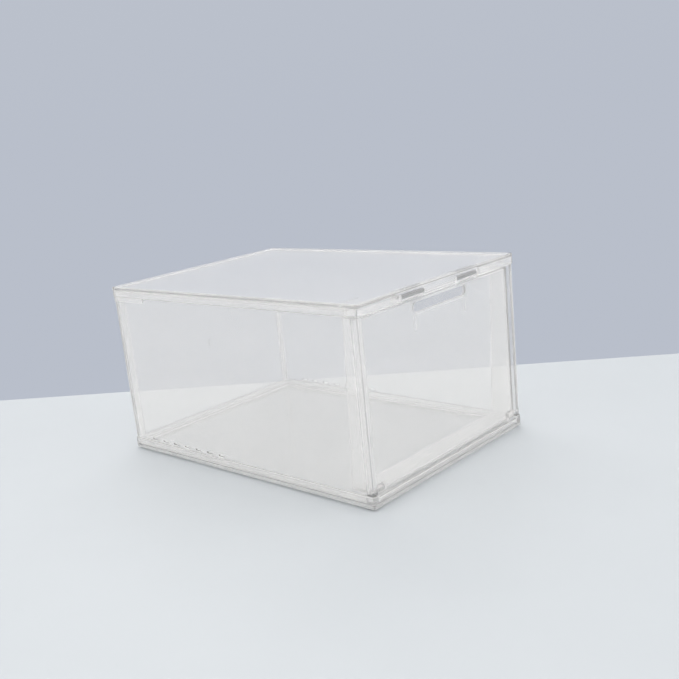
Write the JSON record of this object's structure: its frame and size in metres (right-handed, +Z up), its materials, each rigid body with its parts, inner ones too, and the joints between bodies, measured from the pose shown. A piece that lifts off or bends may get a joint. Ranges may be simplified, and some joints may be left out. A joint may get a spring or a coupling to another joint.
{
  "type": "shoe box",
  "caption": "Clear stackable drop-front shoe box: flat walls between a base tray and a top cover, and a front door with a finger slot that hinges down.",
  "frame": {"origin": "on the surface the box stands on, under the middle of its outer box", "axes": "-Y is the side the door faces, +X to the right of someone facing the door, +Z up"},
  "size_m": [0.25, 0.35, 0.187],
  "materials": {
    "clear_frame": "clear moulded plastic, gloss, slightly hazy",
    "clear_wall": "clear sheet plastic, gloss",
    "clear_door": "clear moulded plastic, gloss",
    "clear_pin": "clear moulded plastic",
    "magnet": "dark ferrite bar, satin",
    "steel_plate": "plated steel, satin"
  },
  "bodies": {
    "case": {"base_tray": "clear_frame", "top_cover": "clear_frame", "left_side_panel": "clear_wall", "right_side_panel": "clear_wall", "back_panel": "clear_wall", "left_latch_magnet": "magnet", "right_latch_magnet": "magnet"},
    "door": {"front_door": "clear_door", "left_hinge_pin": "clear_pin", "right_hinge_pin": "clear_pin", "left_strike_plate": "steel_plate", "right_strike_plate": "steel_plate"}
  },
  "joints": [
    {"name": "door_hinge", "type": "hinge", "parent": "case", "child": "door", "pos_m": [0, -0.1695, 0.017], "axis": [1, 0, 0], "range_deg": [0, 95]}
  ]
}
